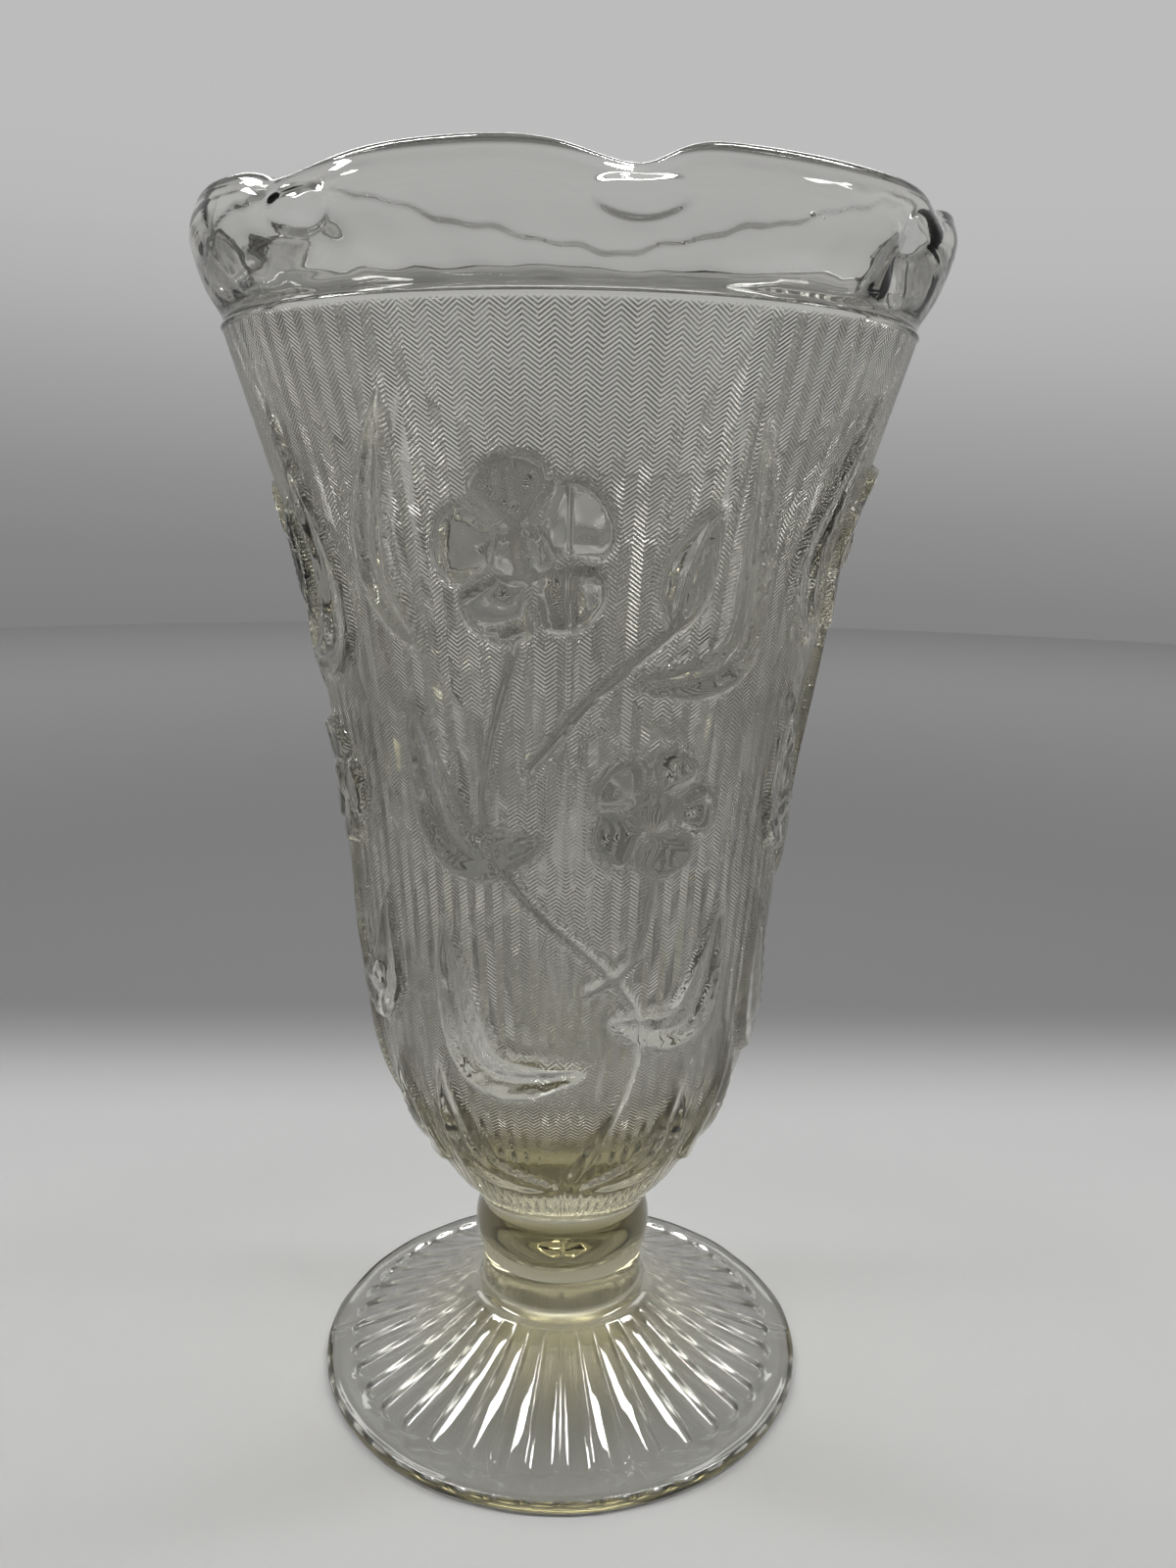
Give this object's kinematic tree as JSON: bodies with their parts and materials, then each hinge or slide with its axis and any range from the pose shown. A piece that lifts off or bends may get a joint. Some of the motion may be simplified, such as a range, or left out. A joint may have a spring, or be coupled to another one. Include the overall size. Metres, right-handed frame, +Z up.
{
  "type": "pressed glass pedestal vase",
  "caption": "Clear pressed glass vase on a rayed pedestal foot, with a knop, floral relief on a herringbone ground and a crimped, flared rim.",
  "frame": {"origin": "centre of the foot's resting ring, on the surface the vase stands on", "axes": "+Z up along the vase's axis, -Y towards the front mould seam, +X to the right of the front view"},
  "size_m": [0.1334, 0.1358, 0.2286],
  "materials": {
    "clear_glass": "clear pressed glass, fire-polished",
    "thick_glass": "solid clear glass with a slight olive cast where it is thick"
  },
  "bodies": {
    "root": {"foot": "clear_glass", "knop": "thick_glass", "bowl": "clear_glass", "ruffled_rim": "clear_glass"}
  },
  "joints": []
}
